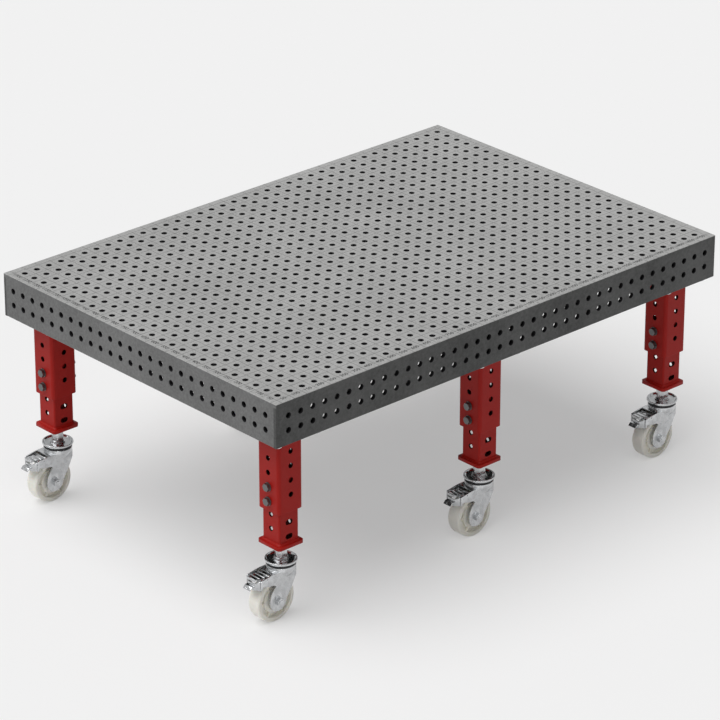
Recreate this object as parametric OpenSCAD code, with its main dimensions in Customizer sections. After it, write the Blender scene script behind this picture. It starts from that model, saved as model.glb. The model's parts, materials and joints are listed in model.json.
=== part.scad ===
// Perforated assembly table on six height-set legs with braked swivel casters.
// All sizes are in millimetres. The floor is z = 0 and the long side lies along X.

/* [Table top] */
// Number of hole columns along the table
hole_cols = 38; // [36:2:44]
// Number of hole rows across the table
hole_rows = 26; // [24:2:32]
// Distance between hole centres
pitch = 50; // [48:1:52]
// Diameter of the system holes
hole_d = 16; // [12:1:20]
// Thickness of the top plate
plate_t = 12; // [10:1:20]
// Thickness of the side walls
wall_t = 12; // [10:1:12]
// Height of the table body, plate included
side_h = 150; // [148:1:155]
// Height of the table surface above the floor
table_h = 807; // [805:1:870]
// Bevel on the edges of the table body
edge_c = 2; // [1:0.5:3]

/* [Ribs] */
// Thickness of the stiffening ribs
rib_t = 10; // [8:1:12]
// Height of the stiffening ribs
rib_h = 118; // [90:1:125]
// Play on each side of the half-lap slots
rib_play = 0.2; // [0.1:0.05:0.5]

/* [Legs] */
// Distance of a leg axis from the table edges
leg_inset = 112.5; // [112.5:0.5:116]
// Width of the head flange
flange_w = 200; // [190:1:200]
// Thickness of the head flange and of the seat plate
flange_t = 15; // [12:1:18]
// Distance of the flange bolts from the leg axis
flange_bolt = 80; // [75:1:85]
// Width of the outer tube
outer_w = 100; // [98:1:110]
// Length of the outer tube below its flange
outer_len = 275; // [270:1:300]
// Width of the inner tube
inner_w = 80; // [76:1:80]
// Width of the foot plate
foot_w = 105; // [100:1:120]
// Thickness of the foot plate
foot_t = 12; // [10:1:15]
// Diameter of the height holes
height_hole = 17.5; // [17:0.1:18.5]

/* [Caster] */
// Radius of the wheel
wheel_r = 75; // [74:0.5:75]
// Width of the wheel
wheel_w = 50; // [46:1:50]
// Distance of the wheel axle behind the swivel axis
trail = 42; // [40:1:43]
// Radius of the fork crown
crown_r = 48; // [47:0.5:49]
// Half of the space between the fork cheeks
fork_in = 27; // [26.5:0.5:27]
// Half of the width over the fork cheeks
fork_out = 35; // [35:0.5:36]
// Thickness of the fork's pressed sheet
sheet = 4; // [3.5:0.1:4.5]
// Number of bearing balls in a swivel head
balls = 14; // [10:1:18]

/* [Brake] */
// Number of ribs on the pedal
tread_ribs = 4; // [4:1:7]
// Width of the pedal at its rear edge
pedal_rear = 51; // [46:1:51]
// Width of the pedal at its front edge
pedal_front = 34; // [30:1:36]
// Angle through which the pedal is pressed until its shoe meets the wheel
brake_angle = 7; // [5:0.5:8]

/* [Hidden] */
$fn = 48;
cross_names = [for (i = [1:6]) str("cross_rib_", i)];
long_names = [for (i = [1:4]) str("long_rib_", i)];
leg_names = [for (i = [1:6]) each [str("leg_", i, "_socket"), str("leg_", i, "_slide")]];
caster_names = [for (i = [1:6]) each [str("fork_", i), str("axle_", i), str("wheel_", i), str("pedal_", i)]];

top_x = (hole_cols + 1) * pitch;
top_y = (hole_rows + 1) * pitch;
leg_x = top_x / 2 - leg_inset;
leg_y = top_y / 2 - leg_inset;
lip_reach = 145;
frame_x = (lip_reach - leg_inset) / 2;
// Legs 1 to 3 stand along the front from left to right, 4 to 6 along the back
LEGS = [for (y = [-leg_y, leg_y]) for (x = [-leg_x, 0, leg_x]) [x, y]];
RIB_X = [-13, -8, -3, 3, 8, 13] * pitch;
RIB_Y = [-8, -3, 3, 8] * pitch;
flange_z = table_h - side_h;
outer_z = flange_z - outer_len;
outer_wall = 8;
inner_wall = 6;
foot_z = 257;
foot_top = foot_z + foot_t;
inner_top = flange_z - 160;
bolt_r = 8;
// The bolts bear on the tops of the outer holes and on the bottoms of the inner ones
bolt_play = height_hole / 2 - bolt_r;
// Heights of the holes below the underside of the table
bolt_drop = [190, 240];
hole_drop = [90, 140, 190, 240];
side_drop = [65, 115, 165, 215];
// Caster sizes, measured from the floor and from the swivel axis
axle = [-trail, wheel_r];
tread_x = [-124.5, -69.5];
crown_z = 184.5;
cap_z = 191.5;
head_z = 203;
race_r = 33;
ball_r = 5;
pin_r = 10;
foot_r = 34;
hinge = [-100, 157];
// Upper and lower edges of the brake arms, and the tab at their ends
arm_top = [[-113, 166], [-111, 167.5], [-94, 170.3], [-75, 173.3], [-58, 175]];
arm_low = [[-58, 136], [-71, 138], [-88, 141.5], [-104, 146]];
arm_tab = [[-107, 146.5], [-107, 136], [-113, 136]];
RED = [0.66, 0.14, 0.12];
STEEL = [0.68, 0.69, 0.68];
ZINC = [0.78, 0.79, 0.80];
DARK = [0.22, 0.23, 0.26];
IVORY = [0.92, 0.90, 0.84];

function bez(a, b, c, t) = (1 - t) * (1 - t) * a + 2 * t * (1 - t) * b + t * t * c;

module table_frame() {
    translate([frame_x, 0, table_h]) children();
}

module at_leg(i) {
    translate([frame_x + LEGS[i - 1][0], LEGS[i - 1][1], 0]) children();
}

module along_y(len) {
    rotate([90, 0, 0]) linear_extrude(len, center = true) children();
}

module rod_x(r, len) {
    rotate([0, 90, 0]) cylinder(r = r, h = len, center = true);
}

module rod_y(r, len) {
    rotate([90, 0, 0]) cylinder(r = r, h = len, center = true);
}

module hexagon(across, h) {
    cylinder(d = across / cos(30), h = h, $fn = 6);
}

module holes_2d(nx, ny) {
    for (i = [0:nx - 1])
        for (j = [0:ny - 1])
            translate([(i - (nx - 1) / 2) * pitch, (j - (ny - 1) / 2) * pitch])
                circle(d = hole_d, $fn = 24);
}

module cut_corner_square(w, d, c) {
    polygon([[-w / 2 + c, -d / 2], [w / 2 - c, -d / 2], [w / 2, -d / 2 + c], [w / 2, d / 2 - c],
        [w / 2 - c, d / 2], [-w / 2 + c, d / 2], [-w / 2, d / 2 - c], [-w / 2, -d / 2 + c]]);
}

module round_square(w, r) {
    square([w, w - 2 * r], center = true);
    square([w - 2 * r, w], center = true);
    for (x = [-1, 1])
        for (y = [-1, 1])
            translate([x * (w / 2 - r), y * (w / 2 - r)]) circle(r = r);
}

// The plate carries the whole grid of system holes
module top_plate() {
    color(STEEL) table_frame() translate([0, 0, -plate_t]) linear_extrude(plate_t) difference() {
        cut_corner_square(top_x, top_y, 3);
        holes_2d(hole_cols, hole_rows);
    }
}

// A wall stands under the plate's edge, with two rows of holes and a bevelled lower edge
module wall_solid(len, n) {
    difference() {
        along_y(wall_t) difference() {
            translate([-len / 2, -side_h]) square([len, side_h - plate_t]);
            translate([0, -1.5 * pitch]) holes_2d(n, 2);
        }
        translate([0, -wall_t / 2, -side_h]) rotate([45, 0, 0])
            cube([len + 2, edge_c * sqrt(2), edge_c * sqrt(2)], center = true);
    }
}

module long_wall(side) {
    color(STEEL) table_frame() difference() {
        rotate([0, 0, side > 0 ? 180 : 0]) translate([0, -(top_y - wall_t) / 2, 0])
            wall_solid(top_x, hole_cols);
        for (x = [-1, 1])
            translate([x * top_x / 2, side * top_y / 2, -side_h / 2]) rotate([0, 0, 45])
                cube([3 * sqrt(2), 3 * sqrt(2), side_h + 2], center = true);
    }
}

module short_wall(side) {
    color(STEEL) table_frame() rotate([0, 0, side * 90]) translate([0, -(top_x - wall_t) / 2, 0])
        wall_solid(top_y - 2 * wall_t, hole_rows);
}

// Ribs cross each other in half-lap slots, like the cells of a crate
module rib_solid(len, slots, from_top) {
    slot_w = rib_t + 2 * rib_play;
    along_y(rib_t) difference() {
        translate([-len / 2, -plate_t - rib_h]) square([len, rib_h]);
        for (s = slots)
            translate([s - slot_w / 2, from_top ? -plate_t - rib_h / 2 : -plate_t - rib_h - 1])
                square([slot_w, rib_h / 2 + 1]);
    }
}

module cross_rib(x) {
    color(STEEL) table_frame() translate([x, 0, 0]) rotate([0, 0, 90])
        rib_solid(top_y - 2 * wall_t, RIB_Y, false);
}

module long_rib(y) {
    color(STEEL) table_frame() translate([0, y, 0]) rib_solid(top_x - 2 * wall_t, RIB_X, true);
}

// Each seat is a welded box midway between hole rows, closed by a plate for the flange
module leg_seats() {
    box_h = side_h - plate_t - 2 * flange_t;
    color(STEEL) table_frame() for (p = LEGS) {
        bx = round(p[0] / pitch) * pitch;
        by = sign(p[1]) * floor(abs(p[1]) / pitch) * pitch;
        translate([bx, by, -plate_t - box_h]) difference() {
            translate([-56, -56, 0]) cube([112, 112, box_h]);
            translate([-44, -44, -1]) cube([88, 88, box_h + 2]);
        }
        translate([p[0], p[1], -side_h + flange_t]) difference() {
            linear_extrude(flange_t) square(flange_w, center = true);
            for (sx = [-1, 1])
                for (sy = [-1, 1])
                    translate([sx * flange_bolt, sy * flange_bolt, -1]) cylinder(d = 16.5, h = flange_t + 2);
        }
    }
}

// Outer tube welded to its head flange
module leg_socket() {
    color(RED) difference() {
        union() {
            translate([0, 0, flange_z]) linear_extrude(flange_t) cut_corner_square(flange_w, flange_w, 6);
            translate([0, 0, outer_z]) linear_extrude(outer_len) round_square(outer_w, 12);
            translate([0, 0, flange_z - 6]) frustum(outer_w, outer_w + 12, 6);
        }
        translate([0, 0, outer_z - 1]) linear_extrude(outer_len + 1)
            round_square(outer_w - 2 * outer_wall, 5);
        for (d = hole_drop)
            translate([0, 0, flange_z - d - bolt_play]) rod_x(height_hole / 2, outer_w + 2);
        for (d = side_drop)
            translate([0, 0, flange_z - d]) rod_y(height_hole / 2, outer_w + 2);
        for (sx = [-1, 1])
            for (sy = [-1, 1])
                translate([sx * flange_bolt, sy * flange_bolt, flange_z - 1])
                    cylinder(d = 16.5, h = flange_t + 2);
    }
}

// Square frustum between widths w0 below and w1 above
module frustum(w0, w1, h) {
    intersection_for(a = [0, 90])
        rotate([0, 0, a]) along_y(200) polygon([[-w0 / 2, 0], [w0 / 2, 0], [w1 / 2, h], [-w1 / 2, h]]);
}

// Inner tube welded to its foot plate
module leg_slide() {
    color(RED) difference() {
        union() {
            translate([0, 0, foot_z]) linear_extrude(inner_top - foot_z) round_square(inner_w, 6);
            translate([0, 0, foot_z]) linear_extrude(foot_t) cut_corner_square(foot_w, foot_w, 7);
            translate([0, 0, foot_top]) frustum(inner_w + 12, inner_w, 6);
        }
        translate([0, 0, foot_top]) linear_extrude(inner_top) round_square(inner_w - 2 * inner_wall, 2);
        translate([0, 0, foot_z - 1]) cylinder(d = 24.5, h = foot_t + 2);
        for (d = hole_drop)
            translate([0, 0, flange_z - d - 100 + bolt_play]) rod_x(height_hole / 2, inner_w + 2);
        for (d = side_drop)
            translate([0, 0, flange_z - d - 100]) along_y(inner_w + 2) slot_2d(28, 17);
    }
}

module slot_2d(w, h) {
    square([w - h, h], center = true);
    for (x = [-1, 1])
        translate([x * (w - h) / 2, 0]) circle(d = h);
}

// Four bolts hold each flange under its seat plate, with washers and nuts below
module flange_bolts() {
    color(ZINC) for (i = [1:6])
        at_leg(i) for (sx = [-1, 1])
            for (sy = [-1, 1])
                translate([sx * flange_bolt, sy * flange_bolt, flange_z]) {
                    translate([0, 0, 2 * flange_t]) hexagon(24, 10);
                    translate([0, 0, -21]) cylinder(r = bolt_r, h = 21 + 2 * flange_t);
                    translate([0, 0, -3]) cylinder(r = 15, h = 3);
                    translate([0, 0, -16]) hexagon(24, 13);
                }
}

// Two bolts through both tubes set the height of each leg
module height_bolts() {
    color(DARK) for (i = [1:6])
        at_leg(i) for (d = bolt_drop)
            translate([-outer_w / 2 - 13, 0, flange_z - d]) rotate([0, 90, 0]) {
                hexagon(24, 10);
                cylinder(r = bolt_r, h = outer_w + 43);
                translate([0, 0, 10]) cylinder(r = 15, h = 3);
            }
}

module height_nuts() {
    color(ZINC) for (i = [1:6])
        at_leg(i) for (d = bolt_drop)
            translate([outer_w / 2, 0, flange_z - d]) rotate([0, 90, 0]) difference() {
                union() {
                    cylinder(r = 15, h = 3);
                    translate([0, 0, 3]) hexagon(24, 13);
                }
                translate([0, 0, -1]) cylinder(r = bolt_r, h = 18);
            }
}

// Hexagon spacer, stud and nut through the foot plate, and the king pin with its collar
module caster_stem() {
    rotate_extrude() polygon([[0, 168], [17, 168], [17, 175.9], [pin_r, 175.9], [pin_r, cap_z], [12, cap_z],
        [12, head_z], [22, head_z], [22, head_z + 6], [0, head_z + 6]]);
    translate([0, 0, head_z + 6]) hexagon(36, foot_z - head_z - 6);
    translate([0, 0, foot_z]) cylinder(r = 12, h = foot_t + 23);
    translate([0, 0, foot_top]) hexagon(36, 19);
}

// Dished head with a rolled rim and the upper ball groove
module caster_cap() {
    rotate_extrude() difference() {
        union() {
            polygon([[12, cap_z], [47, cap_z], [52.5, 196], [52.5, 200.5], [48.1, 200.5], [43, 196.5],
                [25, 196.5], [24, head_z], [12, head_z]]);
            translate([50.3, 200.5]) circle(r = 2.2);
        }
        translate([race_r, (crown_z + cap_z) / 2]) circle(r = ball_r);
    }
}

module caster_seal() {
    rotate_extrude() translate([crown_r - 4, crown_z + 0.3]) square([3.6, cap_z - crown_z - 0.3]);
}

module ball_ring() {
    for (k = [0:balls - 1])
        rotate([0, 0, k * 360 / balls]) translate([race_r, 0, (crown_z + cap_z) / 2]) sphere(r = ball_r);
}

// Side view of the fork, drawn o inside its edge: leg and brake arm
module fork_outline(o) {
    n = 12;
    right = [for (k = [0:n]) bez([47, crown_z], [30, 130], axle + [foot_r, 0], k / n) - [o, 0]];
    left = [for (k = [0:n]) bez(axle - [foot_r, 0], axle + [-foot_r - 1, 31], [-50, 130], k / n) + [o, 0]];
    tab = o > 0 ? [[-113 + o, 147 + o]] : arm_tab;
    polygon(concat(right, left, [for (p = arm_low) p + [0, o]], tab,
        [for (p = arm_top) p + [p[0] < -110 ? o : 0, -o]],
        [[-47 + 3.75 * o, 175 - o], [-47 + 3.75 * o, crown_z]]));
    translate(axle) circle(r = foot_r - o);
}

// Space between the cheeks, closed at the back by a web down to z = 128
module fork_channel() {
    web = [for (t = [0.12:0.05:0.52]) bez([47, crown_z], [30, 130], axle + [foot_r, 0], t) - [sheet + 1, 0]];
    polygon(concat([[-140, 0], [-140, 172]], [web[0] + [0, 0.6]], web, [[60, web[8][1]], [60, 0]]));
}

// Pressed fork: bell, cheeks with turned edges, back web and two brake arms in one shell
module fork() {
    color(ZINC) difference() {
        union() {
            intersection() {
                along_y(2 * fork_out) fork_outline(0);
                union() {
                    linear_extrude(200) intersection() {
                        circle(r = crown_r);
                        square([2 * crown_r, 2 * fork_out], center = true);
                    }
                    translate([-130, -fork_out, 0]) cube([130, 2 * fork_out, 175]);
                }
            }
            rotate_extrude() polygon([[0, crown_z], [crown_r - 1.5, crown_z], [crown_r, crown_z - 1.5],
                [crown_r, 172], [crown_r - 12, 150], [0, 150]]);
        }
        rotate_extrude() polygon([[0, 176.5], [crown_r - sheet, 176.5], [crown_r - sheet, 172],
            [crown_r - sheet - 13, 148], [0, 148]]);
        along_y(2 * fork_in) fork_channel();
        along_y(2 * (fork_out - sheet)) intersection() {
            fork_outline(sheet);
            translate([-150, 0]) square([300, 176.5]);
        }
        rotate_extrude() translate([race_r, (crown_z + cap_z) / 2]) circle(r = ball_r + 0.05);
        cylinder(r = pin_r + 0.05, h = 200);
        translate([axle[0], 0, axle[1]]) rod_y(8.25, 100);
        translate([-130, sheet - fork_out, 100]) cube([67, 2 * (fork_out - sheet), 100]);
        translate([hinge[0], 0, hinge[1]]) rod_y(3.05, 100);
        translate([-86, -fork_out, 166]) rod_y(2, 20);
        for (p = [[-43, -30], [-39, -32.5]])
            translate([p[0], p[1], 172]) cylinder(d = 3, h = 5);
    }
}

// Axle bolt with nut, sleeve and thrust washers
module caster_axle() {
    color(ZINC) translate([axle[0], 0, axle[1]]) rotate([90, 0, 0]) {
        translate([0, 0, -fork_out - 10]) cylinder(r = bolt_r, h = 2 * fork_out + 26);
        translate([0, 0, -fork_out - 10]) hexagon(24, 10);
        translate([0, 0, fork_out]) hexagon(24, 13);
        cylinder(r = 10, h = 2 * (fork_out - sheet), center = true);
        for (s = [-1, 1])
            translate([0, 0, s * (fork_out - sheet - 1.4)]) cylinder(r = 15, h = 2.8, center = true);
    }
}

// Solid nylon wheel with a ribbed recess round the hub on both sides
module wheel() {
    hw = wheel_w / 2;
    color(IVORY) translate([axle[0], 0, axle[1]]) rotate([90, 0, 0]) {
        rotate_extrude() {
            translate([60, -hw]) square([wheel_r - 65, wheel_w]);
            translate([60, -hw + 5]) square([wheel_r - 60, wheel_w - 10]);
            for (s = [-1, 1])
                translate([wheel_r - 5, s * (hw - 5)]) circle(r = 5);
            translate([pin_r + 0.05, -hw + 14]) square([51, wheel_w - 28]);
            translate([pin_r + 0.05, -hw + 5]) square([45 - pin_r, wheel_w - 10]);
            translate([pin_r + 0.05, -28]) square([22 - pin_r, 56]);
        }
        for (k = [0:5])
            rotate([0, 0, 28 + 60 * k]) translate([44, -2, -hw + 6]) cube([17, 4, wheel_w - 12]);
    }
}

// Half width of the pedal at x, along its straight flanks
function tread_half(x) =
    (pedal_front + (pedal_rear - pedal_front) * (x - tread_x[0]) / (tread_x[1] - tread_x[0])) / 2;

// Height of the tops of the pedal's ribs at x
function tread_z(x) = 174 - 6 * (x - tread_x[0]) / (tread_x[1] - tread_x[0]);

// Plan of the side plates and the nose, drawn o inside its outer face
module nose_plan(o) {
    side = fork_out - sheet - 1.5 - o;
    polygon([[-68, side], [-113, side], [-122, 18 - o], [-125 + o, 13], [-125 + o, -13], [-122, o - 18],
        [-113, -side], [-68, -side]]);
}

// Rocking brake pedal: ribbed tread, side plates, nose, shoe, release lip and hinge pin
module pedal() {
    color(ZINC) difference() {
        union() {
            intersection() {
                along_y(80) polygon([[tread_x[0] - 1, tread_z(tread_x[0]) - 2],
                    [tread_x[1] + 1, tread_z(tread_x[1]) - 2], [tread_x[1] + 1, tread_z(tread_x[1]) - 5.5],
                    [tread_x[0] + 2, tread_z(tread_x[0]) - 5.5], [tread_x[0] + 2, 164],
                    [tread_x[0] - 1, 164]]);
                linear_extrude(200) polygon([[tread_x[0] - 2, -pedal_front / 2],
                    [tread_x[1] + 2, -pedal_rear / 2], [tread_x[1] + 2, pedal_rear / 2],
                    [tread_x[0] - 2, pedal_front / 2]]);
            }
            for (k = [0:tread_ribs - 1]) {
                x = tread_x[0] + k * (tread_x[1] - tread_x[0]) / (tread_ribs - 1);
                translate([x, 0, tread_z(x) - 2.5]) rod_y(2.5, 2 * tread_half(x));
            }
            intersection() {
                translate([0, 0, 130]) linear_extrude(40) difference() {
                    nose_plan(0);
                    nose_plan(2.5);
                }
                along_y(80) polygon([[-126, 134], [-126, 157], [-122, 158], [-112, 165], [-100, 167.3],
                    [-70, 164], [-70, 152], [-84, 145], [-100, 139], [-113, 135]]);
            }
            translate([-80, -16, 140]) cube([14, 32, 26]);
            translate([hinge[0] - 4, sheet + 2 - fork_out, hinge[1]])
                cube([8, 2 * (fork_out - sheet - 2), 10]);
            along_y(33) polygon([[-123, 150], [-135.5, 149], [-137.5, 147.5], [-lip_reach, 139.5],
                [-lip_reach + 2, 137.5], [-135, 145], [-123, 146]]);
        }
        translate([hinge[0], 0, hinge[1]]) rotate([0, -brake_angle, 0])
            translate([axle[0] - hinge[0], 0, axle[1] - hinge[1]]) rod_y(wheel_r + 0.8, 100);
        translate([-141.2, 0, 143.5]) rotate([0, 133, 0]) cube([6, 8, 2], center = true);
    }
    color(ZINC) translate([hinge[0], 0, hinge[1]]) {
        rod_y(3, 2 * fork_out + 0.6);
        for (s = [-1, 1])
            translate([0, s * (fork_out - sheet - 5.5), 0]) rod_y(6.5, 10);
    }
}

top_plate();
long_wall(-1);  // wall_front
long_wall(1);  // wall_back
short_wall(-1);  // wall_left
short_wall(1);  // wall_right
leg_seats();
for (i = [1:6]) cross_rib(RIB_X[i - 1]);
for (i = [1:4]) long_rib(RIB_Y[i - 1]);
for (i = [1:6]) at_leg(i) leg_socket();
for (i = [1:6]) at_leg(i) leg_slide();
flange_bolts();
height_bolts();
height_nuts();
for (i = [1:6]) at_leg(i) color(ZINC) caster_stem();  // caster_stems
for (i = [1:6]) at_leg(i) color(ZINC) caster_cap();  // caster_caps
for (i = [1:6]) at_leg(i) color(DARK) caster_seal();  // caster_seals
for (i = [1:6]) at_leg(i) color(STEEL) ball_ring();  // swivel_balls
for (i = [1:6]) at_leg(i) fork();
for (i = [1:6]) at_leg(i) caster_axle();
for (i = [1:6]) at_leg(i) wheel();
for (i = [1:6]) at_leg(i) pedal();
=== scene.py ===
import json
import math
import random

import bmesh
import bpy
from mathutils import Matrix, Vector


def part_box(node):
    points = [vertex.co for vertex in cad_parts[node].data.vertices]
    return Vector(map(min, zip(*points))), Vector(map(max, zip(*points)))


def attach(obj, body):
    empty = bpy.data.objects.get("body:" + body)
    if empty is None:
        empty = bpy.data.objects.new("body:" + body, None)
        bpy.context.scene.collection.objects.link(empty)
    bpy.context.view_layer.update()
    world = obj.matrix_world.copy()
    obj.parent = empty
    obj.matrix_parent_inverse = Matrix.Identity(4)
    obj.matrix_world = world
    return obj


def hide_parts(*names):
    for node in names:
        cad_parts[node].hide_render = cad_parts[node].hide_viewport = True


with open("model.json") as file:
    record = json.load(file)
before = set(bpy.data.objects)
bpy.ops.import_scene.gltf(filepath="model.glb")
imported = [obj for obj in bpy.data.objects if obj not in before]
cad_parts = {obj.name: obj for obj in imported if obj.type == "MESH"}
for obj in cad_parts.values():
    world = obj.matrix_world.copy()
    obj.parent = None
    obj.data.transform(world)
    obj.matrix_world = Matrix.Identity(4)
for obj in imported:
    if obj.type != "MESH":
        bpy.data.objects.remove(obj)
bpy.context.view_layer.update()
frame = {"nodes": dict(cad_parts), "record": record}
nodes = frame["nodes"]
scene = bpy.context.scene
mm = 0.001
print("frame loaded:", len(nodes), "nodes")

# Where the table stands in the shared frame, in millimetres
table = {
    "frameX": sum(c.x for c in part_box("top_plate")) / 2 / mm,  # middle of the table top along X
    "height": 807.0,  # work surface above the floor
    "length": 1950.0,
    "width": 1350.0,
    "plate": 12.0,  # thickness of plate and walls
    "body": 150.0,  # height of the table body
    "pitch": 50.0,
    "holeRadius": 8.0,
    "wallRows": (-100.0, -50.0),  # holes of the walls below the work surface
    "legInset": 112.5,  # leg axes from the edges
    "edgeRound": 1.5,  # rounding of the plate's upper edge
    "cornerRound": 3.0,  # rounding of the upright corners
    "lowerRound": 2.0,  # rounding of the walls' lower edges
    "countersink": 2.2,  # bevel at the mouth of each hole
    "scribeWidth": 1.6,  # width of the scribed lines
    "scribeDepth": 0.35,
}
halfX, halfY = table["length"] / 2, table["width"] / 2
holesX = round(table["length"] / table["pitch"]) - 1
holesY = round(table["width"] / table["pitch"]) - 1
legX, legY = halfX - table["legInset"], halfY - table["legInset"]
legs = [(x + table["frameX"], y) for y in (-legY, legY) for x in (-legX, 0.0, legX)]

camera = {
    "place": (-8.20062 + table["frameX"] * mm, -8.98594, 6.09059),
    "look": (0.61039754, 0.67003845, -0.42244919),
    "lens": 200.87,
    "sensor": 36.0,
    "roll": 0.018,  # degrees
    "reach": 200.0,  # metres that it sees
}
studio = {
    "floorHalf": 40.0,  # metres
    "floorTone": 0.93,  # floor as the camera and the gloss see it
    "floorGlow": 0.42,  # share of that tone which shadows leave alone
    "glowTone": 0.888,
    "floorBounce": 0.80,  # floor as the object's matt faces see it
    "sky": 0.24,  # light from all round
    "skyLean": (-0.60, 0.12, 0.0),  # side from which it is stronger, and by how much
    "sunPower": 2.35,
    "sunSoftness": 60.0,  # degrees
    "sunLean": (-20.0, 8.0),  # degrees towards X and Y
    "roomLow": (0.10, 0.10, 0.11, 1),  # lowest tone of the room that gloss mirrors
    "roomTones": ((0.12, 0.30), (0.30, 0.85), (0.55, 0.45), (0.80, 1.0)),  # its heights and tones
}


def link(obj):
    scene.collection.objects.link(obj)
    return obj


# Shader nodes

def join(tree, source, target):
    tree.links.new(source, target)


def feed(tree, value, socket):
    # A value is either another node's output or a constant
    if hasattr(value, "is_linked"):
        join(tree, value, socket)
    else:
        socket.default_value = value


def noise(tree, vector, scale, detail, rough):
    node = tree.nodes.new("ShaderNodeTexNoise")
    node.inputs["Detail"].default_value = detail
    node.inputs["Roughness"].default_value = rough
    join(tree, vector, node.inputs["Vector"])
    feed(tree, scale, node.inputs["Scale"])
    return node.outputs[0]


def maths(tree, kind, a, b=None, c=None, clamp=False):
    node = tree.nodes.new("ShaderNodeMath")
    node.operation = kind
    node.use_clamp = clamp
    for value, socket in zip((a, b, c), node.inputs):
        if value is not None:
            feed(tree, value, socket)
    return node.outputs[0]


def vectors(tree, kind, a, b):
    node = tree.nodes.new("ShaderNodeVectorMath")
    node.operation = kind
    feed(tree, a, node.inputs[0])
    feed(tree, b, node.inputs["Scale" if kind == "SCALE" else 1])
    return node.outputs["Value" if kind == "DOT_PRODUCT" else "Vector"]


def spread(tree, value, low, high, outLow=0.0, outHigh=1.0):
    # Stretches the range from low to high over another one
    node = tree.nodes.new("ShaderNodeMapRange")
    ends = {"From Min": low, "From Max": high, "To Min": outLow, "To Max": outHigh}
    for label, end in ends.items():
        node.inputs[label].default_value = end
    join(tree, value, node.inputs["Value"])
    return node.outputs[0]


def mixColours(tree, mask, a, b, kind="MIX"):
    node = tree.nodes.new("ShaderNodeMix")
    node.data_type = "RGBA"
    node.blend_type = kind
    for socket, value in ((0, mask), (6, a), (7, b)):
        feed(tree, value, node.inputs[socket])
    return node.outputs[2]


# Studio

def makeCamera():
    data = bpy.data.cameras.new("camera")
    data.lens = camera["lens"]
    data.sensor_width = camera["sensor"]
    data.clip_end = camera["reach"]
    eye = link(bpy.data.objects.new("camera", data))
    turn = Vector(camera["look"]).to_track_quat("-Z", "Y").to_matrix().to_4x4()
    roll = Matrix.Rotation(math.radians(camera["roll"]), 4, "Z")
    eye.matrix_world = Matrix.Translation(camera["place"]) @ turn @ roll
    scene.camera = eye


def makeWorld():
    world = bpy.data.worlds.new("studio")
    scene.world = world
    world.use_nodes = True
    tree = world.node_tree
    tree.nodes.clear()
    add = tree.nodes.new
    out, path, place = add("ShaderNodeOutputWorld"), add("ShaderNodeLightPath"), add("ShaderNodeTexCoord")
    glow, gloss, pick = add("ShaderNodeBackground"), add("ShaderNodeBackground"), add("ShaderNodeMixShader")
    # Matt faces get a pale sky that is stronger from one side
    lean = vectors(tree, "DOT_PRODUCT", place.outputs["Generated"], studio["skyLean"])
    power = maths(tree, "MULTIPLY_ADD", lean, studio["sky"], studio["sky"])
    glow.inputs["Color"].default_value = (1, 1, 1, 1)
    join(tree, power, glow.inputs["Strength"])
    # Metal mirrors a softbox overhead and a darker room at its sides
    split, bands = add("ShaderNodeSeparateXYZ"), add("ShaderNodeValToRGB")
    ramp = bands.color_ramp
    ramp.elements[0].color = studio["roomLow"]
    ramp.elements[1].color = (1, 1, 1, 1)
    for spot, tone in studio["roomTones"]:
        ramp.elements.new(spot).color = (tone, tone, tone, 1)
    join(tree, place.outputs["Generated"], split.inputs[0])
    join(tree, split.outputs["Z"], bands.inputs[0])
    join(tree, bands.outputs[0], gloss.inputs["Color"])
    join(tree, path.outputs["Is Glossy Ray"], pick.inputs[0])
    join(tree, glow.outputs[0], pick.inputs[1])
    join(tree, gloss.outputs[0], pick.inputs[2])
    join(tree, pick.outputs[0], out.inputs[0])


def makeSun():
    lamp = bpy.data.lights.new("softbox", "SUN")
    lamp.energy = studio["sunPower"]
    lamp.angle = math.radians(studio["sunSoftness"])
    sun = link(bpy.data.objects.new("softbox", lamp))
    leanX, leanY = (math.radians(a) for a in studio["sunLean"])
    aim = Vector((-math.sin(leanX), -math.sin(leanY), -1))
    sun.rotation_euler = aim.to_track_quat("-Z", "Y").to_euler()


def floorMaterial():
    mat = bpy.data.materials.new("studioFloor")
    mat.use_nodes = True
    tree = mat.node_tree
    tree.nodes.clear()
    add = tree.nodes.new
    out, path = add("ShaderNodeOutputMaterial"), add("ShaderNodeLightPath")
    seen, bounce = add("ShaderNodeBsdfDiffuse"), add("ShaderNodeBsdfDiffuse")
    glow, share, pick = add("ShaderNodeEmission"), add("ShaderNodeMixShader"), add("ShaderNodeMixShader")
    seen.inputs["Color"].default_value = [studio["floorTone"]] * 3 + [1]
    bounce.inputs["Color"].default_value = [studio["floorBounce"]] * 3 + [1]
    glow.inputs["Strength"].default_value = studio["glowTone"]
    share.inputs[0].default_value = studio["floorGlow"]
    join(tree, seen.outputs[0], share.inputs[1])
    join(tree, glow.outputs[0], share.inputs[2])
    mask = path.outputs["Is Camera Ray"]
    for ray in ("Is Glossy Ray", "Is Transmission Ray"):
        mask = maths(tree, "MAXIMUM", mask, path.outputs[ray])
    join(tree, mask, pick.inputs[0])
    join(tree, bounce.outputs[0], pick.inputs[1])
    join(tree, share.outputs[0], pick.inputs[2])
    join(tree, pick.outputs[0], out.inputs[0])
    return mat


def makeFloor():
    half = studio["floorHalf"]
    corners = [(-half, -half, 0), (half, -half, 0), (half, half, 0), (-half, half, 0)]
    mesh = bpy.data.meshes.new("floor")
    mesh.from_pydata(corners, [], [(0, 1, 2, 3)])
    floor = link(bpy.data.objects.new("floor", mesh))
    mesh.materials.append(floorMaterial())


makeCamera()
makeWorld()
makeSun()
makeFloor()
scene.view_settings.view_transform = "Standard"
print("camera, floor and light are set")


# Shader groups: what several finishes share

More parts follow.
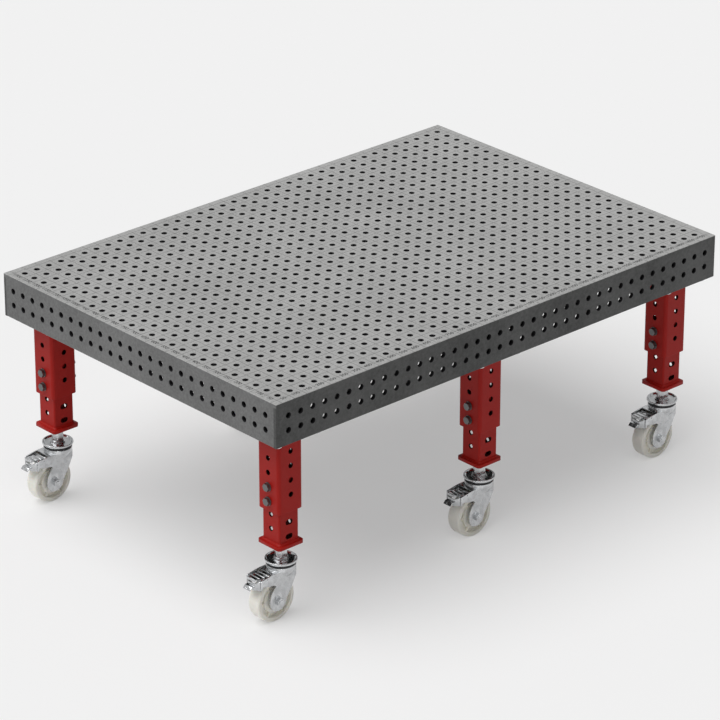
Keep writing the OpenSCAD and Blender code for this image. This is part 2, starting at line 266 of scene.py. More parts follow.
def startGroup(name, inputs, outputs):
    tree = bpy.data.node_groups.new(name, "ShaderNodeTree")
    for way, sockets in (("INPUT", inputs), ("OUTPUT", outputs)):
        for label, kind in sockets.items():
            tree.interface.new_socket(name=label, in_out=way, socket_type="NodeSocket" + kind)
    return tree, tree.nodes.new("NodeGroupInput").outputs, tree.nodes.new("NodeGroupOutput").inputs


texture = {
    "patches": (5.0, 0.6),  # detail and roughness of the noise
    "specks": (3.0, 0.7),
    "grain": (3.0, 0.6),
    "scuffs": (8.0, 0.75),
    "scuffStretch": (0.35, 2.6, 1.3),
    "scuffEdge": (0.60, 0.72),  # noise at which a scuff begins and is full
    "middle": 0.5,  # of the noise
}


def makeMottle():
    # Cloudy tone: broad patches and small specks
    tree, into, out = startGroup("mottle", {
        "Vector": "Vector", "Colour": "Color", "Patch Size": "Float", "Patches": "Float",
        "Speck Size": "Float", "Specks": "Float"}, {"Colour": "Color", "Value": "Float"})
    broad = noise(tree, into["Vector"], into["Patch Size"], *texture["patches"])
    small = noise(tree, into["Vector"], into["Speck Size"], *texture["specks"])
    patches = maths(tree, "SUBTRACT", broad, texture["middle"])
    specks = maths(tree, "SUBTRACT", small, texture["middle"])
    total = maths(tree, "MULTIPLY", patches, into["Patches"])
    total = maths(tree, "MULTIPLY_ADD", specks, into["Specks"], total)
    tone = maths(tree, "MULTIPLY_ADD", total, 2.0, 1.0)  # the noise strays by half at most
    join(tree, vectors(tree, "SCALE", into["Colour"], tone), out["Colour"])
    join(tree, tone, out["Value"])
    return tree


def makeGrain():
    # Fine parallel grain, stretched along one axis
    tree, into, out = startGroup("grain", {
        "Vector": "Vector", "Stretch": "Vector", "Size": "Float"}, {"Value": "Float"})
    stretched = vectors(tree, "MULTIPLY", into["Vector"], into["Stretch"])
    join(tree, noise(tree, stretched, into["Size"], *texture["grain"]), out["Value"])
    return tree


def makeScribe():
    # Lines across the plate, one pitch apart along X and along Y
    tree, into, out = startGroup("scribedLines", {
        "Vector": "Vector", "Pitch": "Float", "Middle X": "Float", "Width": "Float"}, {"Mask": "Float"})
    split = tree.nodes.new("ShaderNodeSeparateXYZ")
    join(tree, into["Vector"], split.inputs[0])
    masks = []
    for axis, middle in (("X", into["Middle X"]), ("Y", 0.0)):
        spot = maths(tree, "SUBTRACT", split.outputs[axis], middle)
        step = maths(tree, "PINGPONG", spot, maths(tree, "DIVIDE", into["Pitch"], 2.0))
        masks.append(maths(tree, "LESS_THAN", step, maths(tree, "DIVIDE", into["Width"], 2.0)))
    join(tree, maths(tree, "MAXIMUM", masks[0], masks[1]), out["Mask"])
    return tree


def makeScuffs():
    # Sparse long scratches and rubbed spots, as a mask
    tree, into, out = startGroup("scuffs", {
        "Vector": "Vector", "Size": "Float", "Amount": "Float"}, {"Mask": "Float"})
    stretched = vectors(tree, "MULTIPLY", into["Vector"], texture["scuffStretch"])
    lines = noise(tree, stretched, into["Size"], *texture["scuffs"])
    sharp = spread(tree, lines, *texture["scuffEdge"])
    join(tree, maths(tree, "MULTIPLY", sharp, into["Amount"], clamp=True), out["Mask"])
    return tree


mottle, grain, scribe, scuffs = makeMottle(), makeGrain(), makeScribe(), makeScuffs()
print("shader groups are built")


# Finishes

def startMaterial(name):
    mat = bpy.data.materials.new(name)
    mat.use_nodes = True
    tree = mat.node_tree
    shader = tree.nodes["Principled BSDF"]
    place = tree.nodes.new("ShaderNodeTexCoord").outputs["Object"]
    return mat, tree, shader, place


def useGroup(tree, group, **values):
    node = tree.nodes.new("ShaderNodeGroup")
    node.node_tree = group
    for label, value in values.items():
        feed(tree, value, node.inputs[label.replace("_", " ")])
    return node


def setShader(tree, shader, look, colour, tone, height):
    # Colour, a roughness that follows the tone, and fine bumps
    smooth, rough = look["rough"]
    gloss = spread(tree, tone, 1 - look["sway"], 1 + look["sway"], rough, smooth)
    join(tree, colour, shader.inputs["Base Color"])
    join(tree, gloss, shader.inputs["Roughness"])
    shader.inputs["Metallic"].default_value = look["metal"]
    shader.inputs["Specular IOR Level"].default_value = look["gloss"]
    node = tree.nodes.new("ShaderNodeBump")
    node.inputs["Strength"].default_value = look["bump"]
    node.inputs["Distance"].default_value = look["bumpDepth"]
    join(tree, height, node.inputs["Height"])
    join(tree, node.outputs[0], shader.inputs["Normal"])


steel = {
    # Colour, strength of patches, strength and size of specks
    "ground": ((0.39, 0.39, 0.385), 0.18, 0.50, 200.0),  # upper face of the plate
    "rolled": ((0.094, 0.095, 0.094), 0.42, 0.42, 100.0),  # long walls and ribs: the same steel, darkened as painted shade
    "cut": ((0.175, 0.176, 0.175), 0.30, 0.40, 100.0),  # short walls: the same steel, darkened less, as lighter painted shade
    "patchSize": 4.0,
    "metal": 0.08,
    "gloss": 0.18,  # specular level
    "rough": (0.44, 0.60),  # in light and in dark tones
    "sway": 0.15,  # change of tone from one to the other
    "rubbed": 0.25,  # strength of the rubbed spots
    "rubbedSize": 9.0,
    "rubbedTone": 1.25,  # their brightness
    "grainStretch": (2.0, 14.0, 14.0),
    "grainSize": 45.0,
    "bump": 0.12,
    "bumpDepth": 0.0004,
    "lineTone": 0.33,  # brightness left in the scribed lines
}


def steelMaterial(name, kind, lines=False):
    mat, tree, shader, place = startMaterial(name)
    tint, patches, specks, speckSize = steel[kind]
    base = useGroup(tree, mottle, Vector=place, Colour=tint + (1,), Patch_Size=steel["patchSize"],
                    Patches=patches, Speck_Size=speckSize, Specks=specks)
    rubbed = useGroup(tree, scuffs, Vector=place, Size=steel["rubbedSize"], Amount=steel["rubbed"])
    light = [min(1.0, c * steel["rubbedTone"]) for c in tint] + [1]
    colour = mixColours(tree, rubbed.outputs["Mask"], base.outputs["Colour"], light)
    if lines:
        cuts = useGroup(tree, scribe, Vector=place, Pitch=table["pitch"] * mm,
                        Middle_X=table["frameX"] * mm, Width=table["scribeWidth"] * mm)
        colour = mixColours(tree, cuts.outputs["Mask"], colour, [steel["lineTone"]] * 3 + [1], "MULTIPLY")
    fine = useGroup(tree, grain, Vector=place, Stretch=steel["grainStretch"], Size=steel["grainSize"])
    setShader(tree, shader, steel, colour, base.outputs["Value"], fine.outputs["Value"])
    return mat


# Coats share these values, and each states only what differs
coat = {
    "patchSize": 60.0,
    "patches": 0.2,
    "speckSize": 90.0,
    "specks": 0.08,
    "rough": (0.5, 0.7),
    "sway": 0.1,
    "metal": 0.0,
    "gloss": 0.5,
    "grainSize": 300.0,
    "grainDetail": 3.0,
    "grainRough": 0.55,
    "bump": 0.1,
    "bumpDepth": 0.0004,
}
metal = {**coat, "metal": 1.0, "patchSize": 40.0, "patches": 0.08, "speckSize": 400.0, "specks": 0.048,
         "grainSize": 260.0, "bump": 0.05}
# Walls of the holes, made near black as painted shade
bore = {**coat, "patches": 0.3, "specks": 0.15, "rough": (0.6, 0.8), "sway": 0.3, "gloss": 0.05}
redPaint = {**coat, "colour": (0.380, 0.0100, 0.0062), "patchSize": 9.0, "patches": 0.10, "specks": 0.04,
            "rough": (0.38, 0.48), "gloss": 0.17, "grainSize": 420.0, "grainDetail": 2.0, "grainRough": 0.5,
            "bumpDepth": 0.0006}
blackRubber = {**coat, "colour": (0.018, 0.018, 0.020), "sway": 0.2, "grainSize": 500.0, "grainDetail": 2.0,
               "bump": 0.15, "bumpDepth": 0.0003}
ivoryNylon = {**coat, "colour": (0.97, 0.945, 0.86), "patchSize": 25.0, "patches": 0.06, "speckSize": 220.0,
              "specks": 0.03, "rough": (0.28, 0.38), "bump": 0.06}
brightZinc = {**metal, "colour": (0.58, 0.59, 0.60), "patches": 0.45, "specks": 0.27, "rough": (0.14, 0.32),
              "bump": 0.18}
pressedZinc = {**metal, "colour": (0.46, 0.47, 0.48), "patches": 0.15, "specks": 0.09,
               "rough": (0.05, 0.10), "bump": 0.02}
blackenedSteel = {**metal, "colour": (0.17, 0.17, 0.17), "rough": (0.32, 0.48)}
polishedBalls = {**metal, "colour": (0.78, 0.79, 0.80), "rough": (0.08, 0.14), "bump": 0.01}
nylonDepth = {"weight": 0.15, "radius": (0.004, 0.003, 0.002)}  # light that goes into the wheels


def coatMaterial(name, look):
    mat, tree, shader, place = startMaterial(name)
    base = useGroup(tree, mottle, Vector=place, Colour=look["colour"] + (1,), Patch_Size=look["patchSize"],
                    Patches=look["patches"], Speck_Size=look["speckSize"], Specks=look["specks"])
    peel = noise(tree, place, look["grainSize"], look["grainDetail"], look["grainRough"])
    setShader(tree, shader, look, base.outputs["Colour"], base.outputs["Value"], peel)
    return mat


def nylonMaterial():
    mat = coatMaterial("ivoryNylon", ivoryNylon)
    shader = mat.node_tree.nodes["Principled BSDF"]
    shader.inputs["Subsurface Weight"].default_value = nylonDepth["weight"]
    shader.inputs["Subsurface Radius"].default_value = nylonDepth["radius"]
    shader.inputs["Subsurface Scale"].default_value = 1.0
    return mat


finish = {
    "plate": steelMaterial("plateSteel", "ground", lines=True),
    # The two wall tones below are one steel with painted shade: darker on the long walls and ribs, lighter
    # on the short walls
    "steel": steelMaterial("shadedBodySteel", "rolled"),
    "lightShadeSteel": steelMaterial("lightShadeWallSteel", "cut"),
    "mark": coatMaterial("engravedMark", {**bore, "colour": (0.07, 0.07, 0.07)}),
    # Hole walls: near black in the plate, dark red in the legs, as painted shade
    "bore": coatMaterial("boreShadeSteel", {**bore, "colour": (0.012, 0.012, 0.013)}),
    "shadedRedBore": coatMaterial("shadedPaintedBore", {**bore, "colour": (0.035, 0.006, 0.005)}),
    "red": coatMaterial("redPowderCoat", redPaint),
    "zinc": coatMaterial("brightZinc", brightZinc),
    "mirror": coatMaterial("pressedZinc", pressedZinc),
    "dark": coatMaterial("blackenedSteel", blackenedSteel),
    "ball": coatMaterial("polishedBalls", polishedBalls),
    "nylon": nylonMaterial(),
    "rubber": coatMaterial("blackSeal", blackRubber),
}
slotFinish = {"table_steel": "steel", "red_paint": "red", "zinc": "zinc", "dark_bolts": "dark",
              "seal_rubber": "rubber", "ball_steel": "ball", "nylon": "nylon"}
for part in frame["record"]["subparts"]:
    kept = nodes[part["node"]]
    kept.data.materials.clear()
    kept.data.materials.append(finish[slotFinish[part["material_slot"]]])
print("finishes are on the frame's nodes")


# Mesh helpers: a solid is (points in millimetres, faces, smooth flags, material slots)

tiny = 1e-9


def addMesh(name, mesh, body, replaced, place):
    piece = link(bpy.data.objects.new(name, mesh))
    piece.location = [c * mm for c in place]
    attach(piece, body)
    if replaced:
        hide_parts(replaced)


def addPiece(name, solid, body, slot, replaced=None, place=(0, 0, 0), sharp=None, materials=None):
    # A piece has its slot's finish, unless materials names others
    points, faces, smooth, slots = solid
    mesh = bpy.data.meshes.new(name)
    mesh.from_pydata([tuple(c * mm for c in p) for p in points], [], faces)
    mesh.polygons.foreach_set("use_smooth", smooth)
    mesh.polygons.foreach_set("material_index", slots)
    for material in materials or [slotFinish[slot]]:
        mesh.materials.append(finish[material])
    mesh.update()
    if sharp:
        mesh.set_sharp_from_angle(angle=math.radians(sharp))
    addMesh(name, mesh, body, replaced, place)


def merge(*solids):
    points, faces, smooth, slots = [], [], [], []
    for solid in solids:
        start = len(points)
        points += solid[0]
        faces += [[k + start for k in face] for face in solid[1]]
        smooth += solid[2]
        slots += solid[3]
    return points, faces, smooth, slots


def move(solid, x=0.0, y=0.0, z=0.0, axis="Z", turn=0.0):
    # Turns about Z by degrees, lays the Z axis along another one, then shifts
    c, s = math.cos(math.radians(turn)), math.sin(math.radians(turn))
    order = {"X": (2, 0, 1), "Y": (1, 2, 0), "Z": (0, 1, 2)}[axis]
    moved = []
    for p in solid[0]:
        p = (p[0] * c - p[1] * s, p[0] * s + p[1] * c, p[2])
        moved.append((p[order[0]] + x, p[order[1]] + y, p[order[2]] + z))
    return moved, solid[1], solid[2], solid[3]


def skin(rings, closed=False):
    # Joins rings of points in turn, and caps the first and last unless they meet
    count, total = len(rings[0]), len(rings)
    points = [p for ring in rings for p in ring]
    faces = []
    for r in range(total if closed else total - 1):
        low, high = r * count, (r + 1) % total * count
        faces += [[low + k, low + (k + 1) % count, high + (k + 1) % count, high + k] for k in range(count)]
    if not closed:
        faces += [list(range(count - 1, -1, -1)), [(total - 1) * count + k for k in range(count)]]
    return points, faces, [True] * len(faces), [0] * len(faces)


def rounded(section, steps):
    # Rounds a closed section whose corners are (radius, height, rounding)
    result = []
    most = 0.45  # share of a side that one corner may take
    for k, (radius, height, rounding) in enumerate(section):
        if not rounding:
            result.append((radius, height))
            continue
        here = Vector((radius, height))
        ends = []
        for other in (section[k - 1], section[(k + 1) % len(section)]):
            way = Vector(other[:2]) - here
            ends.append(here + way * min(most, rounding / way.length))
        for s in range(steps + 1):
            t = s / steps
            result.append(tuple(ends[0] * (1 - t) ** 2 + here * 2 * t * (1 - t) + ends[1] * t * t))
    return result


def ringPoint(radius, k, count, z):
    angle = 2 * math.pi * k / count
    return radius * math.cos(angle), radius * math.sin(angle), z


def lathe(profile, count, closed=True):
    # Turns (radius, height) points about Z, upwards on the outside
    return skin([[ringPoint(r, k, count, z) for k in range(count)] for r, z in profile], closed)


def rod(radius, bottom, top, bevel=1.0):
    end = radius - bevel
    return lathe([(end, bottom), (radius, bottom + bevel), (radius, top - bevel), (end, top)], 32, False)


def thread(radius, bottom, top):
    # Rings of a screw thread with bevelled ends
    pitch = 2.0
    depth, crest = 0.61 * pitch, 0.1 * pitch
    profile = [(radius - depth, bottom)]
    turns = int((top - bottom) / pitch)
    for k in range(turns):
        z = bottom + (k + 0.5) * (top - bottom) / turns
        profile += [(radius, z - crest), (radius, z + crest), (radius - depth, z + 0.5 * pitch)]
    profile[-1] = (radius - depth, top)
    return lathe(profile, 32, False)


def hexagon(across, bottom, top, chamferBottom=True, chamferTop=True):
    # Hexagon head or nut whose corners are turned down to a circle at its ends
    count = 48
    flat = across / 2 * 0.96  # radius of the circle
    slope = 0.577
    wide = []
    for k in range(count):
        beside = (2 * math.pi * k / count) % (math.pi / 3) - math.pi / 6
        wide.append(across / 2 / math.cos(beside))
    cut = [(r - flat) * slope for r in wide]

    def ring(radii, heights):
        return [ringPoint(radii[k], k, count, heights[k]) for k in range(count)]

    rings = []
    for chamfered, end, inward in ((chamferBottom, bottom, 1), (chamferTop, top, -1)):
        if chamfered:
            turned = [ring([flat] * count, [end] * count), ring(wide, [end + inward * c for c in cut])]
            rings += turned[::inward]
        else:
            rings.append(ring(wide, [end] * count))
    return skin(rings)


def washer(outer, inner, bottom, top):
    edge = 0.5  # rounding of its edges
    section = [(outer, bottom, edge), (outer, top, edge), (inner, top, edge), (inner, bottom, edge)]
    return lathe(rounded(section, 2), 48)


def slab(outline, bottom, top, bevel):
    # Plate of a convex outline, drawn anticlockwise, with softly bevelled edges
    def inset(amount):
        ring = []
        for k, corner in enumerate(outline):
            here = Vector(corner)
            before = (here - Vector(outline[k - 1])).normalized()
            after = (Vector(outline[(k + 1) % len(outline)]) - here).normalized()
            normal = Vector((-before.y - after.y, before.x + after.x)).normalized()
            ring.append(here + normal * amount / normal.dot(Vector((-before.y, before.x))))
        return ring

    near = 0.3 * bevel
    rings = []
    for amount, z in ((bevel, bottom), (near, bottom + near), (0, bottom + bevel),
                      (0, top - bevel), (near, top - near), (bevel, top)):
        rings.append([(p.x, p.y, z) for p in inset(amount)])
    return skin(rings)


def cutSquare(width, cut):
    h = width / 2
    return [(-h + cut, -h), (h - cut, -h), (h, -h + cut), (h, h - cut),
            (h - cut, h), (-h + cut, h), (-h, h - cut), (-h, -h + cut)]


def perforate(columns, rows, openings, thickness, place, drop, mouth, wrap=False, segments=32, rim=0):
    # A sheet on a grid of lines. openings maps a cell to the middle of its hole, its radius and
    # half the straight length of a slot. Walls of holes take the second material.
    points, faces, smooth, slots = [], [], [], []
    count, depth, quarter = len(columns), len(rows), segments // 4
    narrow = 3.0  # strips below this width are the round corners of a tube

    def add(u, v, w):
        points.append(place(u, v, w))
        return len(points) - 1

    def face(corners, soft=False, slot=0):
        faces.append(corners)
        smooth.append(soft)
        slots.append(slot)

    outer = [[add(u, v, -drop(u, v)) for v in rows] for u in columns]
    inner = [[add(u, v, -thickness) for v in rows] for u in columns]
    for i in range(count if wrap else count - 1):
        k = (i + 1) % count
        for j in range(depth - 1):
            cell = ((i, j), (k, j), (k, j + 1), (i, j + 1))
            if (i, j) not in openings:
                soft = wrap and abs(columns[k] - columns[i]) < narrow
                face([outer[a][b] for a, b in cell], soft)
                face([inner[a][b] for a, b in reversed(cell)], soft)
                continue
            u, v, radius, straight = openings[i, j]
            rings = []
            for r, w in ((radius + mouth, 0.0), (radius, -mouth), (radius, -thickness)):
                ring = []
                for s in range(segments):
                    angle = math.radians(225 + 360 * s / segments)  # from the cell's first corner
                    c = math.cos(angle)
                    side = 0 if abs(c) < tiny else math.copysign(straight, c)
                    ring.append(add(u + r * c + side, v + r * math.sin(angle), w))
                rings.append(ring)
            for q in range(4):
                (a, b), (c, d) = cell[q], cell[(q + 1) % 4]
                arc = [(q * quarter + s) % segments for s in range(quarter, -1, -1)]
                face([outer[a][b], outer[c][d]] + [rings[0][s] for s in arc])
                face(([inner[a][b], inner[c][d]] + [rings[2][s] for s in arc])[::-1])
            for top, bottom in zip(rings, rings[1:]):
                for s in range(segments):
                    n = (s + 1) % segments
                    face([top[s], top[n], bottom[n], bottom[s]], True, 1)
    right, far = count - 1, depth - 1
    if wrap:
        loops = [[(i, 0) for i in range(count)], [(i, far) for i in range(right, -1, -1)]]
    else:
        loops = [[(i, 0) for i in range(right)] + [(right, j) for j in range(far)]
                 + [(i, far) for i in range(right, 0, -1)] + [(0, j) for j in range(far, 0, -1)]]
    for loop in loops:
        for (a, b), (c, d) in zip(loop, loop[1:] + loop[:1]):
            face([outer[c][d], outer[a][b], inner[a][b], inner[c][d]], slot=rim)
    return points, faces, smooth, slots


def arcDrop(distance, radius):
    # How far a rounded edge lies below the face, at a distance from the edge
    reach = radius - distance
    return 0.0 if reach <= 0 else radius - math.sqrt(max(0.0, radius * radius - reach * reach))


def edgeLines(edge, radius, inward):
    # Lines over a rounded edge, one to each 30 degrees of it
    return [edge + inward * radius * share for share in (0.0, 0.134, 0.5, 1.0)]


# Table top

def gridLines(half, cells):
    # Lines of the plate: rounded edge, then one tile a hole with a groove between tiles
    pitch, groove = table["pitch"], table["scribeWidth"] / 2
    edge, corner = table["edgeRound"], half - table["cornerRound"]
    lines = edgeLines(-half, edge, 1) + [-corner, -cells * pitch / 2]
    for k in range(1, cells):
        middle = (k - cells / 2) * pitch
        lines += [middle - groove, middle, middle + groove]
    return lines + [cells * pitch / 2, corner] + edgeLines(half, edge, -1)[::-1]


def makePlate():
    pitch, edge = table["pitch"], table["edgeRound"]
    flatX, flatY = halfX - table["cornerRound"], halfY - table["cornerRound"]
    grooves = [set(round((k - n / 2) * pitch, 3) for k in range(1, n)) for n in (holesX, holesY)]

    def drop(u, v):
        scribed = round(u, 3) in grooves[0] or round(v, 3) in grooves[1]
        return max(arcDrop(halfX - abs(u), edge), arcDrop(halfY - abs(v), edge),
                   table["scribeDepth"] if scribed else 0)

    def place(u, v, w):
        a, b = abs(u) - flatX, abs(v) - flatY
        if a > 0 and b > 0:
            share = max(a, b) / math.hypot(a, b)
            u, v = math.copysign(flatX + a * share, u), math.copysign(flatY + b * share, v)
        return u + table["frameX"], v, table["height"] + w

    openings = {}
    first, step = 5, 3  # line at which the first tile starts, and lines to a tile
    for i in range(holesX):
        for j in range(holesY):
            u, v = (i + 0.5 - holesX / 2) * pitch, (j + 0.5 - holesY / 2) * pitch
            openings[first + step * i, first + step * j] = (u, v, table["holeRadius"], 0)
    longEdge, shortEdge = 2, 3  # materials of the plate's edges
    sheet = perforate(gridLines(halfX, holesX), gridLines(halfY, holesY), openings, table["plate"], place,
                      drop, table["countersink"], segments=24, rim=longEdge)
    points, faces, slots = sheet[0], sheet[1], sheet[3]
    for k, face in enumerate(faces):
        # The short edges take the lighter painted shade of the walls below them
        if slots[k] == longEdge and all(abs(points[v][0] - table["frameX"]) > flatX for v in face):
            slots[k] = shortEdge
    addPiece("topPlate", sheet, "table", "table_steel", "top_plate",
             materials=("plate", "bore", "steel", "lightShadeSteel"))


def makeWall(name, node, length, cells, ends, face, place):
    # Two rows of holes, a rounded lower edge and rounded upright ends where the corner shows
    half, top, bottom, pitch = length / 2, -table["plate"], -table["body"], table["pitch"]
    left = edgeLines(-half, ends, 1) if ends else [-half]
    columns = left + [(k - cells / 2) * pitch for k in range(cells + 1)] + [-c for c in reversed(left)]
    lower = edgeLines(bottom, table["lowerRound"], 1)
    rows = lower + [table["wallRows"][0] - pitch / 2] + [z + pitch / 2 for z in table["wallRows"]] + [top]
    openings = {}
    for i in range(cells):
        for j, z in enumerate(table["wallRows"]):
            u = (i + 0.5 - cells / 2) * pitch
            openings[len(left) + i, len(lower) + j] = (u, z, table["holeRadius"], 0)

    def drop(u, v):
        return max(arcDrop(half - abs(u), ends), arcDrop(v - bottom, table["lowerRound"]))

    def upright(u, v, w):
        x, y = place(u, w)
        return x + table["frameX"], y, v + table["height"]

    sheet = perforate(columns, rows, openings, table["plate"], upright, drop, table["countersink"])
    addPiece(name, sheet, "table", "table_steel", node, materials=(face, "bore"))


def makeWalls():
    length, corner = table["length"], table["cornerRound"]
    short = table["width"] - 2 * table["plate"]
    makeWall("frontWall", "wall_front", length, holesX, corner, "steel", lambda u, w: (u, -halfY - w))
    makeWall("backWall", "wall_back", length, holesX, corner, "steel", lambda u, w: (-u, halfY + w))
    makeWall("leftWall", "wall_left", short, holesY, 0, "lightShadeSteel", lambda u, w: (-halfX - w, -u))
    makeWall("rightWall", "wall_right", short, holesY, 0, "lightShadeSteel", lambda u, w: (halfX + w, u))


numbers = {
    "height": 14.0,  # of the digits
    "digitShare": 0.7,  # of the font's size that a digit is high
    "stroke": 0.20,  # added to the strokes on each side
    "inX": 20.0,  # middle of the digits from the short edge
    "inY": 23.0,  # and from the long edge
    "depth": 0.4,
    "proud": 0.05,  # how far they stand above the plate
}


def makeNumbers():
    # A plain scale: the distance of each hole from the corner, beside the outermost holes
    solids = []
    pitch = table["pitch"]
    middle = table["height"] + numbers["proud"] - numbers["depth"] / 2
    for alongX, total in ((True, holesX), (False, holesY)):
        for k in range(1, total + 1):
            curve = bpy.data.curves.new("number", "FONT")
            curve.body = str(round(k * pitch))
            curve.size = numbers["height"] / numbers["digitShare"]
            curve.align_x, curve.align_y = "CENTER", "CENTER"
            curve.extrude = numbers["depth"] / 2
            curve.offset = numbers["stroke"]
            text = link(bpy.data.objects.new("number", curve))
            mesh = bpy.data.meshes.new_from_object(text)
            points = []
            for vert in mesh.vertices:
                u, v, w = vert.co
                if alongX:
                    x, y = k * pitch - halfX + u, numbers["inY"] - halfY + v
                else:
                    x, y = numbers["inX"] - halfX + v, k * pitch - halfY - u
                points.append((x + table["frameX"], y, middle + w))
            faces = [list(face.vertices) for face in mesh.polygons]
            solids.append((points, faces, [False] * len(faces), [0] * len(faces)))
            bpy.data.objects.remove(text)
            bpy.data.curves.remove(curve)
            bpy.data.meshes.remove(mesh)
    addPiece("scaleNumbers", merge(*solids), "table", "table_steel", materials=("mark",))


makePlate()
makeWalls()
makeNumbers()
print("table top is built")


# Legs

def series(first, step, count):
    return [first + step * k for k in range(count)]


outerTube = {
    "width": 100.0,
    "round": 12.0,  # radius of its corners
    "wall": 8.0,
    "bottom": 382.0,
    "top": 657.0,
    "lines": series(404.5, 25.0, 9),  # heights that part its holes
    "front": series(442.0, 50.0, 4),  # holes in its front and back faces
    "sides": series(416.25, 50.0, 4),  # holes in its other two faces
    "frontHole": (8.75, 0.0),  # radius and half the straight length
    "sideHole": (8.75, 0.0),
    "cell": 16.0,  # half width of the strip with the holes
}
innerTube = {
    "width": 80.0,
    "round": 6.0,
    "wall": 6.0,
    "bottom": 263.0,
    "top": 497.0,
    "lines": [279.5] + series(305.0, 25.0, 8),
    "front": series(292.0, 50.0, 4),
    "sides": series(317.75, 50.0, 4),
    "frontHole": (8.5, 5.5),
    "sideHole": (8.75, 0.0),
    "cell": 20.0,
}
leg = {
    "arcSteps": 5,  # strips to half a corner of a tube
    "lip": 1.0,  # rounding of the tubes' lower edges
    "mouth": 0.5,  # bevel of their holes
    "plateEdge": 1.0,  # bevel of flange and foot plate
    "flangeZ": 657.0,  # underside of the head flange
    "flange": 15.0,  # thickness of the flange
    "flangeWidth": 200.0,
    "flangeCut": 6.0,  # cut of its corners
    "footZ": 257.0,  # underside of the foot plate
    "footThick": 12.0,
    "footWidth": 105.0,
    "footCut": 7.0,
}
bead = {
    "size": 6.0,  # leg length of the weld beads
    "step": 2.2,  # half a ripple
    "ripple": 0.09,  # share by which it swells and shrinks
    "chance": 0.05,  # and the range of chance in it
    "toe": 0.98,  # share of the size at its toes
    "toeHigh": 0.5,
    "bulge": 0.80,  # share of the size at its round middle
    "angles": (20, 42, 64),  # degrees of the middle's points
    "inTube": 0.6,  # how far it reaches into the tube
    "inPlate": 0.4,  # and into the plate
}


def tubePlace(width, radius):
    # A tube wall unrolled: u runs round the four faces, beginning with the front one
    flat = width / 2 - radius

    def place(u, v, w):
        face = math.floor(u / width + tiny)
        spot = u - (face + 0.5) * width
        if abs(spot) <= flat + tiny:
            x, y = spot, -width / 2 - w
        else:
            angle = math.radians(45) * (abs(spot) - flat) / radius
            x = math.copysign(flat + (radius + w) * math.sin(angle), spot)
            y = -flat - (radius + w) * math.cos(angle)
        return ((x, y), (-y, x), (-x, -y), (y, -x))[face % 4] + (v,)

    return place


def makeTube(tube):
    width, bottom, steps = tube["width"], tube["bottom"], leg["arcSteps"]
    flat = width / 2 - tube["round"]
    arc = [flat + tube["round"] * k / steps for k in range(1, steps + 1)]
    face = [-a for a in reversed(arc)] + [-flat, -tube["cell"], tube["cell"], flat] + arc[:-1]
    columns = [spot + (f + 0.5) * width for f in range(4) for spot in face]
    rows = [bottom, bottom + 0.3 * leg["lip"], bottom + leg["lip"]] + tube["lines"] + [tube["top"]]
    openings = {}
    for f in range(4):
        heights, hole = (tube["sides"], tube["sideHole"]) if f % 2 else (tube["front"], tube["frontHole"])
        for z in heights:
            row = max(k for k, line in enumerate(rows) if line < z)
            openings[f * len(face) + steps + 1, row] = ((f + 0.5) * width, z) + hole

    def drop(u, v):
        return arcDrop(v - bottom, leg["lip"])

    return perforate(columns, rows, openings, tube["wall"], tubePlace(width, tube["round"]), drop,
                     leg["mouth"], wrap=True)


def weldBead(tube, z, upwards):
    # A rippled fillet weld round a tube, against a plate at z
    width, radius = tube["width"], tube["round"]
    place = tubePlace(width, radius)
    flat = width / 2 - radius
    length = 8 * flat + 2 * math.pi * radius
    total = round(length / bead["step"])
    spots = []
    for k in range(total):
        face, rest = divmod(k * length / total, 2 * flat + math.pi * radius / 2)
        angle = math.degrees((rest - 2 * flat) / radius)
        if angle <= 0:
            spots.append((face + 0.5) * width + rest - flat)
        elif angle <= 45:
            spots.append((face + 0.5) * width + flat + radius * angle / 45)
        else:
            spots.append(((face + 1) % 4 + 0.5) * width - flat - radius * (90 - angle) / 45)
    sense = 1 if upwards else -1
    dice = random.Random(7)
    rings = []
    for k, spot in enumerate(spots):
        swell = 1 + bead["ripple"] * math.cos(math.pi * k) + bead["chance"] * (dice.random() - 0.5)
        size = bead["size"] * swell
        toe, high = bead["toe"] * size, bead["toeHigh"]
        section = [(-bead["inTube"], -bead["inPlate"]), (size, -bead["inPlate"]), (toe, high)]
        for a in bead["angles"]:
            angle, bulge = math.radians(a), bead["bulge"] * size
            section.append((bulge * math.cos(angle), bulge * math.sin(angle)))
        section += [(high, toe), (-bead["inTube"], size)]
        if not upwards:
            section.reverse()
        rings.append([place(spot, z + sense * h, out) for out, h in section])
    return skin(rings, closed=True)


def makeLegs():
    low, footTop, edge = leg["flangeZ"], leg["footZ"] + leg["footThick"], leg["plateEdge"]
    flange = slab(cutSquare(leg["flangeWidth"], leg["flangeCut"]), low, low + leg["flange"], edge)
    socket = merge(makeTube(outerTube), flange, weldBead(outerTube, low, False))
    foot = slab(cutSquare(leg["footWidth"], leg["footCut"]), leg["footZ"], footTop, edge)
    slide = merge(makeTube(innerTube), foot, weldBead(innerTube, footTop, True))
    # The tubes' hole walls take the dark red painted shade
    red = ("red", "shadedRedBore")
    for k, (x, y) in enumerate(legs, 1):
        addPiece(f"legSocket{k}", socket, "table", "red_paint", f"leg_{k}_socket", (x, y, 0), materials=red)
        addPiece(f"legSlide{k}", slide, "table", "red_paint", f"leg_{k}_slide", (x, y, 0), materials=red)


def atLegs(solid):
    return merge(*(move(solid, x, y) for x, y in legs))


